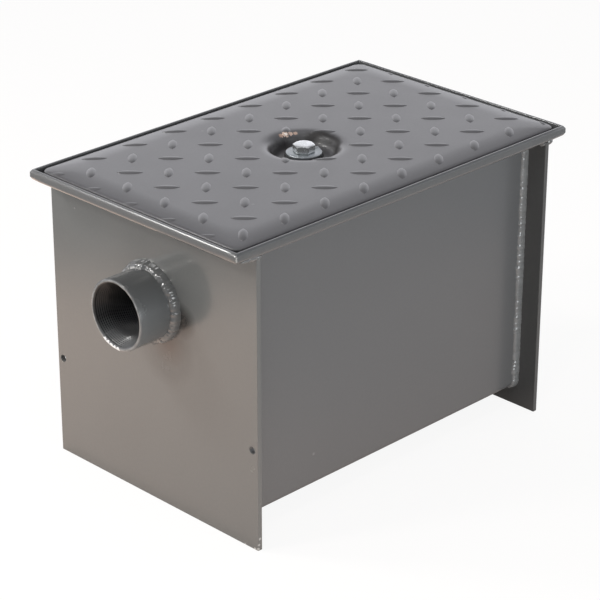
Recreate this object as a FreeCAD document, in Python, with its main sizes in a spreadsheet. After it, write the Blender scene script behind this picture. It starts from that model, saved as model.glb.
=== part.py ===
import FreeCAD, Part
import math
import os
import re
import Sketcher

# Steel grease trap with a tread-plate cover. The tank stands on its two end plates.
# +X is the flow, from the inlet to the outlet, Y is across and +Z is up. The origin is
# on the floor, under the middle of the tank. All sizes are in millimetres.

# Driving sizes. Each one has its own cell in the sheet "sizes", under the name it has here.
SIZES = {
    # rim: four mitred angles
    "rim_length": 443.4,
    "rim_width": 279.4,
    "rim_top": 303.5,
    "lip_height": 10.8,
    "ledge_width": 30.0,
    "rim_steel": 4.0,
    "heel_radius": 3.6,
    "inner_heel_radius": 1.0,
    "lip_edge_radius": 0.8,
    # end plates and folded body
    "end_inset": 24.5,
    "end_steel": 4.8,
    "end_margin": 0.9,
    "side_inset": 24.4,
    "wall_steel": 3.0,
    "tank_underside": 21.0,
    "bend_radius": 5.0,
    "wing_hole_diameter": 7.5,
    "wing_hole_height": 101.9,
    "wing_hole_edge": 7.0,
    # two inch pipe couplings
    "pipe_height": 205.8,
    "coupling_diameter": 69.8,
    "coupling_bore": 57.2,
    "coupling_reach": 43.5,
    "coupling_inside": 6.0,
    "coupling_slack": 0.3,
    "mouth_diameter": 62.8,
    "mouth_depth": 4.0,
    "mouth_bevel": 1.3,
    # weld beads
    "coupling_weld_leg": 5.6,
    "seam_weld_leg": 5.0,
    "corner_weld_leg": 5.0,
    "corner_weld_length": 17.0,
    # tread-plate cover
    "cover_gap": 3.4,
    "cover_steel": 3.2,
    "cover_corner_radius": 9.0,
    "cover_seat_width": 3.0,
    "crown_rise": 3.0,
    "shoulder_width": 26.0,
    "corner_opening": 0.6,
    "dish_radius": 36.0,
    "dish_floor_radius": 27.0,
    "dish_depth": 12.6,
    "dish_lip_bend": 4.0,
    "dish_foot_bend": 2.4,
    # raised lugs of the tread plate
    "lug_pitch": 50.74,
    "lug_shift_x": -12.0,
    "lug_shift_y": 12.5,
    "lug_length": 26.0,
    "lug_width": 8.4,
    "lug_height": 1.6,
    "lug_draft": 24.0,
    # gasket under the cover
    "gasket_thickness": 2.8,
    "gasket_width": 20.0,
    "gasket_slack": 1.2,
    # hold-down bolt, washers, bar and nut
    "bolt_diameter": 12.7,
    "bolt_length": 38.1,
    "bolt_end_chamfer": 1.5,
    "head_across_flats": 19.05,
    "head_height": 7.9,
    "head_chamfer": 1.0,
    "head_turn": 7.7,
    "bolt_hole_diameter": 14.3,
    "thread_clearance": 0.06,
    "washer_diameter": 34.9,
    "washer_thickness": 2.8,
    "seal_diameter": 38.0,
    "seal_bore": 13.4,
    "seal_thickness": 3.0,
    "bar_width": 31.8,
    "bar_thickness": 6.4,
    "bar_drop": 4.9,
    "nut_height": 11.1,
    # lift-out baffles and their guides
    "baffle_place_x": 112.0,
    "baffle_steel": 3.0,
    "baffle_headroom": 30.5,
    "baffle_lip": 16.0,
    "baffle_bend_radius": 2.0,
    "baffle_side_gap": 3.6,
    "baffle_seat_gap": 0.3,
    "baffle_corner_cut": 9.0,
    "window_width": 150.0,
    "window_height": 50.0,
    "window_radius": 10.0,
    "guide_steel": 2.0,
    "guide_depth": 12.0,
    "guide_slack": 0.5,
    "guide_foot_gap": 8.0,
    "guide_head_gap": 9.0,
}

# Places that several pieces share, worked out from the driving sizes.
SHARED = {
    "plate_half_width": "(rim_width / 2 - end_margin)",
    "baffle_half_width": "(rim_width / 2 - side_inset - wall_steel - baffle_side_gap)",
    "end_face": "(rim_length / 2 - end_inset)",
    "end_inner": "(rim_length / 2 - end_inset - end_steel)",
    "wall_outer": "(rim_width / 2 - side_inset)",
    "wall_inner": "(rim_width / 2 - side_inset - wall_steel)",
    "rim_underside": "(rim_top - lip_height)",
    "ledge_top": "(rim_top - lip_height + rim_steel)",
    "tank_floor": "(tank_underside + wall_steel)",
    "cover_half_length": "(rim_length / 2 - rim_steel - cover_gap)",
    "cover_half_width": "(rim_width / 2 - rim_steel - cover_gap)",
    "cover_seat": "(rim_top - lip_height + rim_steel + gasket_thickness)",
    "crown_top": "(rim_top - lip_height + rim_steel + gasket_thickness + cover_steel + crown_rise)",
}
SHARED["baffle_top"] = "(%s - cover_steel - baffle_headroom)" % SHARED["crown_top"]
SHARED["dish_floor"] = "(%s - dish_depth)" % SHARED["crown_top"]
SHARED["head_seat"] = "(%s + seal_thickness + washer_thickness)" % SHARED["dish_floor"]
SHARED["bar_top"] = "(%s - cover_steel - bar_drop)" % SHARED["dish_floor"]

# How finely the cover's shoulder and a lug's two sides are stepped.
SHOULDER_STEPS = 3
LUG_RUNS = 3
# The tolerance for telling edges apart.
TINY = 0.01

doc = FreeCAD.newDocument("grease_trap")
sheet = doc.addObject("Spreadsheet::Sheet", "sizes")
for row, (name, value) in enumerate(SIZES.items(), start=1):
    cell = "A%d" % row
    sheet.set(cell, str(value))
    sheet.setAlias(cell, name)
doc.recompute()


def expand(text):
    """Write the shared places in a formula out as driving sizes."""
    return re.sub(r"[a-z_]+", lambda word: SHARED.get(word.group(), word.group()), text)


def bound(text):
    """The formula as an object of the document reads it, with the sheet's name before each size."""
    def place(word):
        return "sizes." + word.group() if word.group() in SIZES else word.group()
    return re.sub(r"[a-z_]+", place, expand(text))


def size(text):
    """The formula's value now, in millimetres."""
    return float(sheet.evalExpression(expand(text)))


def vector(x, y, z):
    return FreeCAD.Vector(x, y, z)


def new_body(name):
    """A body whose label names its file."""
    body = doc.addObject("PartDesign::Body", name)
    body.Label = name
    return body


def new_sketch(body, plane, name, offset="0"):
    """A sketch on one of the body's origin planes, moved along the plane's normal by a formula."""
    sketch = body.newObject("Sketcher::SketchObject", name)
    support = [item for item in body.Origin.OriginFeatures if item.Role == plane][0]
    sketch.AttachmentSupport = (support, [""])
    sketch.MapMode = "FlatFace"
    sketch.setExpression("AttachmentOffset.Base.z", bound(offset))
    return sketch


def pin_point(sketch, curve, point, x, y):
    """Hold a point of the sketch at two formulas, counted from the sketch's origin."""
    for kind, text, axis in (("DistanceX", x, -2), ("DistanceY", y, -1)):
        value = size(text)
        if abs(value) < TINY:
            sketch.addConstraint(Sketcher.Constraint("PointOnObject", curve, point, axis))
        else:
            row = sketch.addConstraint(Sketcher.Constraint(kind, -1, 1, curve, point, value))
            sketch.setExpression("Constraints[%d]" % row, bound(text))


def draw_outline(sketch, corners):
    """A closed outline of straight lines through corners given as pairs of formulas."""
    first = sketch.GeometryCount
    count = len(corners)
    points = [vector(size(x), size(y), 0) for x, y in corners]
    for index in range(count):
        line = Part.LineSegment(points[index], points[(index + 1) % count])
        sketch.addGeometry(line, False)
    for index in range(count):
        after = first + (index + 1) % count
        sketch.addConstraint(Sketcher.Constraint("Coincident", first + index, 2, after, 1))
    for index, (x, y) in enumerate(corners):
        pin_point(sketch, first + index, 1, x, y)


def draw_rectangle(sketch, half_x, half_y):
    """A rectangle about the sketch's origin."""
    draw_outline(sketch, [
        ("-" + half_x, "-" + half_y), (half_x, "-" + half_y),
        (half_x, half_y), ("-" + half_x, half_y),
    ])


def draw_rounded_rectangle(sketch, half_x, half_y, radius):
    """A rectangle about the sketch's origin with rounded corners."""
    signs = (("", ""), ("-", ""), ("-", "-"), ("", "-"))
    wide = size(radius)
    arcs = []
    for index, (x_sign, y_sign) in enumerate(signs):
        x = "%s(%s - %s)" % (x_sign, half_x, radius)
        y = "%s(%s - %s)" % (y_sign, half_y, radius)
        circle = Part.Circle(vector(size(x), size(y), 0), vector(0, 0, 1), wide)
        start = index * math.pi / 2
        arcs.append((x, y, Part.ArcOfCircle(circle, start, start + math.pi / 2)))
    for index, (x, y, arc) in enumerate(arcs):
        after = arcs[(index + 1) % 4][2]
        sketch.addGeometry(arc, False)
        sketch.addGeometry(Part.LineSegment(arc.EndPoint, after.StartPoint), False)
    for index, (x, y, arc) in enumerate(arcs):
        own = 2 * index
        sketch.addConstraint(Sketcher.Constraint("Tangent", own, 2, own + 1, 1))
        sketch.addConstraint(Sketcher.Constraint("Tangent", own + 1, 2, (own + 2) % 8, 1))
        pin_point(sketch, own, 3, x, y)
    for line, direction in ((1, "Horizontal"), (3, "Vertical"), (5, "Horizontal")):
        sketch.addConstraint(Sketcher.Constraint(direction, line))
    row = sketch.addConstraint(Sketcher.Constraint("Radius", 0, wide))
    sketch.setExpression("Constraints[%d]" % row, bound(radius))


def draw_window(sketch, half_width, foot, height, radius):
    """An opening that starts below the foot of a sheet and has two rounded upper corners."""
    top = "(%s + %s)" % (foot, height)
    low = "(%s - %s)" % (foot, radius)
    reach = size(half_width)
    wide = size(radius)
    crest = size(top)
    right = Part.Circle(vector(reach - wide, crest - wide, 0), vector(0, 0, 1), wide)
    left = Part.Circle(vector(wide - reach, crest - wide, 0), vector(0, 0, 1), wide)
    right_arc = Part.ArcOfCircle(right, 0, math.pi / 2)
    left_arc = Part.ArcOfCircle(left, math.pi / 2, math.pi)
    low_right = vector(reach, size(low), 0)
    low_left = vector(-reach, size(low), 0)
    curves = (
        Part.LineSegment(low_right, right_arc.StartPoint), right_arc,
        Part.LineSegment(right_arc.EndPoint, left_arc.StartPoint), left_arc,
        Part.LineSegment(left_arc.EndPoint, low_left), Part.LineSegment(low_left, low_right),
    )
    for curve in curves:
        sketch.addGeometry(curve, False)
    for index, kind in enumerate(("Tangent", "Tangent", "Tangent", "Tangent", "Coincident",
                                  "Coincident")):
        after = (index + 1) % len(curves)
        sketch.addConstraint(Sketcher.Constraint(kind, index, 2, after, 1))
    pin_point(sketch, 0, 1, half_width, low)
    pin_point(sketch, 5, 1, "-" + half_width, low)
    pin_point(sketch, 1, 3, "(%s - %s)" % (half_width, radius), "(%s - %s)" % (top, radius))
    pin_point(sketch, 3, 3, "-(%s - %s)" % (half_width, radius), "(%s - %s)" % (top, radius))
    sketch.addConstraint(Sketcher.Constraint("Vertical", 0))
    sketch.addConstraint(Sketcher.Constraint("Horizontal", 2))


def draw_circle(sketch, x, y, diameter):
    """A circle held by its centre and its diameter."""
    centre = vector(size(x), size(y), 0)
    row = sketch.GeometryCount
    sketch.addGeometry(Part.Circle(centre, vector(0, 0, 1), size(diameter) / 2), False)
    pin_point(sketch, row, 3, x, y)
    held = sketch.addConstraint(Sketcher.Constraint("Diameter", row, size(diameter)))
    sketch.setExpression("Constraints[%d]" % held, bound(diameter))


def pad(body, sketch, length, symmetric=False, reverse=False):
    """Extrude the sketch by a formula, to one side of its plane or half to each."""
    feature = body.newObject("PartDesign::Pad", sketch.Name + "_pad")
    feature.Profile = sketch
    feature.setExpression("Length", bound(length))
    feature.Midplane = symmetric
    feature.Reversed = reverse
    doc.recompute()
    return feature


def cut_through(body, sketch):
    """Cut the sketch through the whole body, both ways from its plane."""
    before = body.Shape.Volume
    feature = body.newObject("PartDesign::Pocket", sketch.Name + "_cut")
    feature.Profile = sketch
    feature.Type = "ThroughAll"
    feature.Midplane = True
    doc.recompute()
    if body.Shape.Volume > before - TINY:
        raise RuntimeError(sketch.Name + " cuts nothing")
    return feature


def spin(body, sketch, kind, axis="H_Axis"):
    """Revolve the sketch about one of its axes, as added (Revolution) or removed (Groove) material."""
    feature = body.newObject("PartDesign::" + kind, sketch.Name + "_spin")
    feature.Profile = sketch
    feature.ReferenceAxis = (sketch, [axis])
    feature.Angle = 360
    doc.recompute()
    return feature


def dress(body, kind, base, wanted, formula):
    """Fillet or chamfer every edge of the base feature that the test picks."""
    names = []
    for index, edge in enumerate(base.Shape.Edges, start=1):
        if wanted(edge):
            names.append("Edge%d" % index)
    if not names:
        raise RuntimeError("no edge to dress on " + body.Label)
    feature = body.newObject("PartDesign::" + kind, "%s_%s" % (body.Name, kind.lower()))
    feature.Base = (base, names)
    feature.setExpression("Radius" if kind == "Fillet" else "Size", bound(formula))
    doc.recompute()
    return feature


def near(value, target):
    return abs(value - target) < 10 * TINY


def middle(edge):
    """The edge's middle, measured along its own parameter."""
    return edge.valueAt((edge.FirstParameter + edge.LastParameter) / 2)


def runs_along(edge, axis):
    """Whether the edge is straight and lies along one axis, given as 0, 1 or 2."""
    if edge.Curve.TypeId != "Part::GeomLine":
        return False
    return abs(abs(edge.Curve.Direction[axis]) - 1) < TINY


def make_tank_body():
    """Side walls and floor: one sheet folded to a U, with rounded bends."""
    body = new_body("tank_body")
    sketch = new_sketch(body, "YZ_Plane", "fold_section")
    draw_outline(sketch, [
        ("-wall_outer", "rim_underside"), ("-wall_outer", "tank_underside"),
        ("wall_outer", "tank_underside"), ("wall_outer", "rim_underside"),
        ("wall_inner", "rim_underside"), ("wall_inner", "tank_floor"),
        ("-wall_inner", "tank_floor"), ("-wall_inner", "rim_underside"),
    ])
    fold = pad(body, sketch, "2 * end_inner", symmetric=True)
    inside = size("tank_floor")
    outside = size("tank_underside")
    inner = dress(body, "Fillet", fold, lambda edge: runs_along(edge, 0) and
                  near(middle(edge).z, inside), "bend_radius")
    dress(body, "Fillet", inner, lambda edge: runs_along(edge, 0) and
          near(middle(edge).z, outside), "bend_radius + wall_steel")
    return body


def make_end_plate(name, side):
    """One end plate. Its wings are as wide as the rim, and its lower edge is a foot.

    The inlet's plate has a small hole near each upright edge. The outlet's has none.
    """
    body = new_body(name)
    half = "(rim_width / 2 - end_margin)"
    sketch = new_sketch(body, "YZ_Plane", name + "_outline", side + "end_inner")
    draw_outline(sketch, [
        ("-" + half, "0"), (half, "0"), (half, "rim_underside"), ("-" + half, "rim_underside"),
    ])
    pad(body, sketch, "end_steel", reverse=side == "-")
    holes = new_sketch(body, "YZ_Plane", name + "_holes")
    draw_circle(holes, "0", "pipe_height", "(coupling_diameter + 2 * coupling_slack)")
    if side == "-":
        wing = "(rim_width / 2 - end_margin - wing_hole_edge)"
        draw_circle(holes, "-" + wing, "wing_hole_height", "wing_hole_diameter")
        draw_circle(holes, wing, "wing_hole_height", "wing_hole_diameter")
    cut_through(body, holes)
    return body


def make_rim_angle(name, plane, side, own_half, other_half):
    """One angle of the rim, with the heel rounded and both ends mitred.

    own_half is half the rim's size across this angle, other_half half its size along it.
    """
    body = new_body(name)
    sketch = new_sketch(body, plane, name + "_section")
    outer = side + own_half
    inner = "%s(%s - ledge_width)" % (side, own_half)
    lip_inner = "%s(%s - rim_steel)" % (side, own_half)
    draw_outline(sketch, [
        (outer, "rim_top"), (outer, "rim_underside"), (inner, "rim_underside"),
        (inner, "ledge_top"), (lip_inner, "ledge_top"), (lip_inner, "rim_top"),
    ])
    along = 0 if plane == "YZ_Plane" else 1
    across = 1 - along
    feature = pad(body, sketch, "2 * " + other_half, symmetric=True)
    rounded = (
        (outer, "rim_underside", "heel_radius"),
        (lip_inner, "ledge_top", "inner_heel_radius"),
        (outer, "rim_top", "lip_edge_radius"),
        (lip_inner, "rim_top", "lip_edge_radius"),
    )
    for place, height, radius in rounded:
        at = size(place)
        level = size(height)
        feature = dress(body, "Fillet", feature, lambda edge: runs_along(edge, along) and
                        near(middle(edge)[across], at) and near(middle(edge).z, level), radius)
    depth = "(ledge_width + rim_steel)"
    mitre = new_sketch(body, "XY_Plane", name + "_mitre")
    for end in ("-", ""):
        tip = (end + other_half, outer)
        below = (end + other_half, "%s(%s - %s)" % (side, own_half, depth))
        inside = ("%s(%s - %s)" % (end, other_half, depth), below[1])
        triangle = [tip, below, inside]
        if along == 1:
            triangle = [(y, x) for x, y in triangle]
        draw_outline(mitre, triangle)
    cut_through(body, mitre)
    return body


def make_coupling(name, side):
    """A pipe coupling through the end plate, with a bevelled edge and a widened mouth."""
    body = new_body(name)
    bore = "coupling_bore / 2"
    outside = "coupling_diameter / 2"
    inner_end = side + "(end_inner - coupling_inside)"
    mouth = side + "(end_face + coupling_reach)"
    sketch = new_sketch(body, "XZ_Plane", name + "_section")
    draw_outline(sketch, [
        (inner_end, bore), (inner_end, outside),
        (side + "(end_face + coupling_reach - mouth_bevel)", outside),
        (mouth, "coupling_diameter / 2 - mouth_bevel"), (mouth, "mouth_diameter / 2"),
        (side + "(end_face + coupling_reach - mouth_depth)", bore),
    ])
    spin(body, sketch, "Revolution")
    body.setExpression("Placement.Base.z", bound("pipe_height"))
    return body


def make_coupling_weld(name, side):
    """The bead round a coupling, on the outer face of its end plate."""
    body = new_body(name)
    foot = side + "end_face"
    tube = "coupling_diameter / 2"
    sketch = new_sketch(body, "XZ_Plane", name + "_section")
    draw_outline(sketch, [
        (foot, tube), (foot, tube + " + coupling_weld_leg"),
        (side + "(end_face + coupling_weld_leg)", tube),
    ])
    spin(body, sketch, "Revolution")
    body.setExpression("Placement.Base.z", bound("pipe_height"))
    return body


def make_seam_weld(name, side):
    """The bead that joins the folded body to an end plate, up both walls and under the floor."""
    body = new_body(name)
    sketch = new_sketch(body, "YZ_Plane", name + "_path", side + "end_inner")
    far = "(wall_outer + seam_weld_leg)"
    low = "(tank_underside - seam_weld_leg)"
    draw_outline(sketch, [
        ("-" + far, "rim_underside"), ("-" + far, low), (far, low), (far, "rim_underside"),
        ("wall_outer", "rim_underside"), ("wall_outer", "tank_underside"),
        ("-wall_outer", "tank_underside"), ("-wall_outer", "rim_underside"),
    ])
    block = pad(body, sketch, "seam_weld_leg", reverse=side == "")
    at_floor = size("tank_underside")
    at_crest = size(low)
    inner = dress(body, "Fillet", block, lambda edge: runs_along(edge, 0) and
                  near(middle(edge).z, at_floor), "bend_radius + wall_steel")
    outer = dress(body, "Fillet", inner, lambda edge: runs_along(edge, 0) and
                  near(middle(edge).z, at_crest), "bend_radius + wall_steel + seam_weld_leg")
    face = size(side + "(end_inner - seam_weld_leg)")
    wall = size("wall_outer")

    def is_crest(edge):
        point = middle(edge)
        beyond = abs(point.y) > wall + 1 or point.z < at_floor - 1
        flat = near(edge.BoundBox.XLength, 0) and near(point.x, face)
        return flat and beyond and point.z < size("rim_underside") - 1
    dress(body, "Chamfer", outer, is_crest, "seam_weld_leg - 0.4")
    return body


def make_corner_welds():
    """Four short beads under the rim, in the corners inside the wings of the end plates."""
    body = new_body("rim_corner_welds")
    body.AllowCompound = True
    sketch = new_sketch(body, "XZ_Plane", "corner_beads", "plate_half_width - corner_weld_length")
    for side in ("-", ""):
        draw_outline(sketch, [
            (side + "end_inner", "rim_underside"),
            (side + "end_inner", "rim_underside - corner_weld_leg"),
            (side + "(end_inner - corner_weld_leg)", "rim_underside"),
        ])
    pad(body, sketch, "corner_weld_length")
    return mirror_across(body)


def mirror_across(body):
    """Repeat the body's last feature on the other side of the tank's middle plane."""
    feature = body.newObject("PartDesign::Mirrored", body.Name + "_mirrored")
    plane = [item for item in body.Origin.OriginFeatures if item.Role == "XZ_Plane"][0]
    feature.Originals = [body.Tip]
    feature.MirrorPlane = (plane, [""])
    body.Tip = feature
    doc.recompute()
    return body


def crown_inset(step):
    """How far in from the cover's edge a level of the shoulder lies."""
    return "(shoulder_width * %d / %d)" % (step, SHOULDER_STEPS)


def crown_height(step):
    """The level's height: the shoulder is a parabola that ends level with the crown."""
    left = 1 - step / SHOULDER_STEPS
    return "(crown_top - crown_rise * %.6f)" % (left * left)


def draw_cover_level(body, name, height, inset):
    """One level of the cover: its edge drawn in by the inset, with corners that open out."""
    sketch = new_sketch(body, "XY_Plane", name, height)
    draw_rounded_rectangle(
        sketch, "(cover_half_length - %s)" % inset, "(cover_half_width - %s)" % inset,
        "(cover_corner_radius + corner_opening * %s)" % inset)
    return sketch


def loft(body, kind, sketches, name):
    """Join outlines at several levels with straight sides."""
    feature = body.newObject("PartDesign::" + kind, name)
    feature.Profile = sketches[0]
    feature.Sections = sketches[1:]
    feature.Ruled = True
    doc.recompute()
    return feature


def is_ring(edge, radius, height):
    """Whether the edge is a whole circle of this radius at this height."""
    if edge.Curve.TypeId != "Part::GeomCircle" or len(edge.Vertexes) != 1:
        return False
    return near(edge.Curve.Radius, radius) and near(edge.Curve.Center.z, height)


def make_cover_plate():
    """The pressed cover without its lugs: a crowned pan with a round dish for the bolt."""
    body = new_body("cover_plate")
    steps = range(SHOULDER_STEPS + 1)
    outside = [draw_cover_level(body, "edge_low", "cover_seat", "0")]
    for step in steps:
        outside.append(draw_cover_level(
            body, "crown_%d" % step, crown_height(step), crown_inset(step)))
    loft(body, "AdditiveLoft", outside, "crown")
    inside = [draw_cover_level(body, "seat_inner", "cover_seat", "cover_seat_width")]
    for step in steps[1:]:
        inside.append(draw_cover_level(
            body, "under_%d" % step, crown_height(step) + " - cover_steel", crown_inset(step)))
    full = body.Shape.Volume
    loft(body, "SubtractiveLoft", inside, "underside")
    if body.Shape.Volume > full - 1:
        raise RuntimeError("the cover's underside isn't hollow")

    # The dish: its wall leans out, with a bend at the floor and another at the lip.
    cup = new_sketch(body, "XZ_Plane", "dish_cup")
    draw_outline(cup, [
        ("0", "dish_floor - cover_steel"),
        ("dish_floor_radius", "dish_floor - cover_steel"),
        ("dish_floor_radius + cover_steel", "dish_floor"),
        ("dish_radius + cover_steel", "crown_top - cover_steel"),
        ("dish_radius + cover_steel", "crown_top - cover_steel / 2"),
        ("0", "crown_top - cover_steel / 2"),
    ])
    spin(body, cup, "Revolution", "V_Axis")
    hollow = new_sketch(body, "XZ_Plane", "dish_hollow")
    draw_outline(hollow, [
        ("0", "dish_floor"), ("dish_floor_radius - dish_foot_bend", "dish_floor"),
        ("dish_floor_radius", "dish_floor + dish_foot_bend / 2"),
        ("dish_radius", "crown_top - 0.4 * dish_lip_bend"),
        ("dish_radius + dish_lip_bend", "crown_top"),
        ("dish_radius + dish_lip_bend", "crown_top + cover_steel"),
        ("0", "crown_top + cover_steel"),
    ])
    spin(body, hollow, "Groove", "V_Axis")
    hole = new_sketch(body, "XY_Plane", "bolt_hole")
    draw_circle(hole, "0", "0", "bolt_hole_diameter")
    cut_through(body, hole)
    return body


def lug_outline(scale, height):
    """Corners of a lug's outline at one level: short straight runs along two equal arcs."""
    half = size("lug_length") / 2
    bulge = size("lug_width") / 2
    radius = (half * half + bulge * bulge) / 2 / bulge
    sweep = math.asin(half / radius)
    corners = []
    for hand in (1, -1):
        for step in range(LUG_RUNS):
            angle = sweep * (1 - 2 * step / LUG_RUNS)
            x = radius * math.sin(angle)
            y = radius * math.cos(angle) - radius + bulge
            corners.append(vector(hand * x * scale, hand * y * scale, height))
    return corners


def make_lug():
    """One lug before it is trimmed: a lens that narrows upwards, through the plate's surface."""
    depth = size("cover_steel")
    spread = depth * math.tan(math.radians(size("lug_draft"))) / (size("lug_width") / 2)
    low = lug_outline(1 + spread, -depth)
    high = lug_outline(1 - spread, depth)
    count = len(low)
    faces = [Part.Face(Part.makePolygon(ring + ring[:1])) for ring in (low, high)]
    for index in range(count):
        after = (index + 1) % count
        side = [low[index], low[after], high[after], high[index], low[index]]
        faces.append(Part.Face(Part.makePolygon(side)))
    lug = Part.Solid(Part.Shell(faces))
    if lug.Volume < 0:
        lug.reverse()
    return lug


def lug_places():
    """Centre and turn of every lug: two square grids, half a pitch apart, turned a quarter."""
    pitch = size("lug_pitch")
    half_x = size("cover_half_length")
    half_y = size("cover_half_width")
    reach = size("lug_length") / 2 * math.cos(math.pi / 4)
    count = int(half_x / pitch) + 2
    places = []
    for shift, turn in ((0, -45), (pitch / 2, 45)):
        for column in range(-count, count + 1):
            for line in range(-count, count + 1):
                x = size("lug_shift_x") + shift + column * pitch
                y = size("lug_shift_y") + shift + line * pitch
                shown = abs(x) < half_x + reach / 2 and abs(y) < half_y + reach / 2
                if shown and math.hypot(x, y) > size("dish_radius"):
                    places.append((x, y, turn))
    return places


def make_cover(plate):
    """The cover: the pressed plate with its raised lugs, which follow crown, shoulder and dish."""
    shoulder = size("shoulder_width")
    lug = make_lug()
    lugs = []
    for x, y, turn in lug_places():
        inset = min(size("cover_half_length") - abs(x), size("cover_half_width") - abs(y))
        left = 1 - min(max(inset, 0), shoulder) / shoulder
        surface = size("crown_top") - size("crown_rise") * left * left
        copy = lug.copy()
        copy.Placement = FreeCAD.Placement(
            vector(x, y, surface), FreeCAD.Rotation(vector(0, 0, 1), turn))
        lugs.append(copy)
    raised = plate.Shape.copy()
    raised.translate(vector(0, 0, size("lug_height")))
    layer = raised.common(Part.makeCompound(lugs))
    cover = doc.addObject("Part::Feature", "cover")
    cover.Label = "cover"
    cover.Shape = plate.Shape.fuse(layer).removeSplitter()
    return cover


def make_gasket():
    """The flat rubber frame that lies on the ledge, under the cover's edge."""
    body = new_body("cover_gasket")
    sketch = new_sketch(body, "XY_Plane", "gasket_outline", "ledge_top")
    edge = "rim_steel - gasket_slack"
    for inset in (edge, edge + " - gasket_width"):
        draw_rectangle(sketch, "(rim_length / 2 - %s)" % inset, "(rim_width / 2 - %s)" % inset)
    pad(body, sketch, "gasket_thickness")
    return body


def make_ring(name, height, thickness, diameter, bore):
    """A flat washer on the bolt's axis."""
    body = new_body(name)
    sketch = new_sketch(body, "XY_Plane", name + "_outline", height)
    draw_circle(sketch, "0", "0", diameter)
    draw_circle(sketch, "0", "0", bore)
    pad(body, sketch, thickness)
    return body


def draw_hexagon(sketch, across_flats):
    """A regular hexagon about the sketch's origin, with two corners on its X axis."""
    corners = []
    for step in range(6):
        angle = math.radians(60 * step)
        reach = 1 / math.cos(math.radians(30)) / 2
        corners.append((
            "%s * %.9f" % (across_flats, reach * math.cos(angle)),
            "%s * %.9f" % (across_flats, reach * math.sin(angle))))
    draw_outline(sketch, corners)


def make_bolt():
    """The hex bolt that holds the cover down, with its head's top corners turned off."""
    body = new_body("hold_down_bolt")
    head = new_sketch(body, "XY_Plane", "bolt_head")
    draw_hexagon(head, "head_across_flats")
    pad(body, head, "head_height")
    corner = "head_across_flats * %.9f" % (0.5 / math.cos(math.radians(30)))
    turned = new_sketch(body, "XZ_Plane", "head_turning")
    draw_outline(turned, [
        (corner + " - 1.8 * head_chamfer", "head_height"),
        (corner + " + head_chamfer", "head_height - 1.55 * head_chamfer"),
        (corner + " + head_chamfer", "head_height"),
    ])
    spin(body, turned, "Groove", "V_Axis")
    shank = new_sketch(body, "XY_Plane", "bolt_shank")
    draw_circle(shank, "0", "0", "bolt_diameter")
    stem = pad(body, shank, "bolt_length", reverse=True)
    radius = size("bolt_diameter / 2")
    tip = size("-bolt_length")
    dress(body, "Chamfer", stem, lambda edge: is_ring(edge, radius, tip), "bolt_end_chamfer")
    body.setExpression("Placement.Base.z", bound("head_seat"))
    body.setExpression("Placement.Rotation.Angle", bound("head_turn"))
    return body


def make_bar():
    """The flat bar across the tank, welded between the side walls, with the bolt's hole."""
    body = new_body("hold_down_bar")
    sketch = new_sketch(body, "XY_Plane", "bar_outline", "bar_top")
    draw_rectangle(sketch, "(bar_width / 2)", "wall_inner")
    draw_circle(sketch, "0", "0", "bolt_hole_diameter")
    pad(body, sketch, "bar_thickness", reverse=True)
    return body


def make_nut():
    """The hex nut welded under the bar. Its bore clears the bolt by the thread's clearance."""
    body = new_body("hold_down_nut")
    sketch = new_sketch(body, "XY_Plane", "nut_outline", "bar_top - bar_thickness")
    draw_hexagon(sketch, "head_across_flats")
    draw_circle(sketch, "0", "0", "(bolt_diameter + 2 * thread_clearance)")
    pad(body, sketch, "nut_height", reverse=True)
    return body


def make_baffle(name, side):
    """A lift-out baffle: a sheet with a folded top lip and a window at its foot."""
    body = new_body(name)
    outer = side + "(baffle_place_x + baffle_steel / 2)"
    inner = side + "(baffle_place_x - baffle_steel / 2)"
    tip = side + "(baffle_place_x + baffle_steel / 2 - baffle_lip)"
    foot = "(tank_floor + baffle_seat_gap)"
    section = new_sketch(body, "XZ_Plane", name + "_section")
    draw_outline(section, [
        (outer, foot), (inner, foot), (inner, "baffle_top - baffle_steel"),
        (tip, "baffle_top - baffle_steel"), (tip, "baffle_top"), (outer, "baffle_top"),
    ])
    sheet_pad = pad(body, section, "2 * baffle_half_width", symmetric=True)
    bends = (
        (inner, "baffle_top - baffle_steel", "baffle_bend_radius"),
        (outer, "baffle_top", "baffle_bend_radius + baffle_steel"),
    )
    feature = sheet_pad
    for place, height, radius in bends:
        at = size(place)
        level = size(height)
        feature = dress(body, "Fillet", feature, lambda edge: runs_along(edge, 1) and
                        near(middle(edge).x, at) and near(middle(edge).z, level), radius)
    low = size(foot)
    dress(body, "Chamfer", feature, lambda edge: runs_along(edge, 0) and
          near(middle(edge).z, low), "baffle_corner_cut")
    window = new_sketch(body, "YZ_Plane", name + "_window")
    draw_window(window, "window_width / 2", foot, "window_height", "window_radius")
    cut_through(body, window)
    return body


def make_guide(name, x_side, y_side):
    """A folded channel on a side wall, open towards the middle of the tank."""
    body = new_body(name)
    sketch = new_sketch(body, "XY_Plane", name + "_section", "tank_floor + guide_foot_gap")
    slot = "(baffle_steel / 2 + guide_slack)"
    near_side = x_side + "baffle_place_x"
    wall = y_side + "wall_inner"
    base = y_side + "(wall_inner - guide_steel)"
    edge = y_side + "(wall_inner - guide_depth)"
    draw_outline(sketch, [
        ("%s - %s - guide_steel" % (near_side, slot), wall),
        ("%s - %s - guide_steel" % (near_side, slot), edge),
        ("%s - %s" % (near_side, slot), edge), ("%s - %s" % (near_side, slot), base),
        ("%s + %s" % (near_side, slot), base), ("%s + %s" % (near_side, slot), edge),
        ("%s + %s + guide_steel" % (near_side, slot), edge),
        ("%s + %s + guide_steel" % (near_side, slot), wall),
    ])
    pad(body, sketch, "baffle_top - guide_head_gap - tank_floor - guide_foot_gap")
    return body


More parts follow.
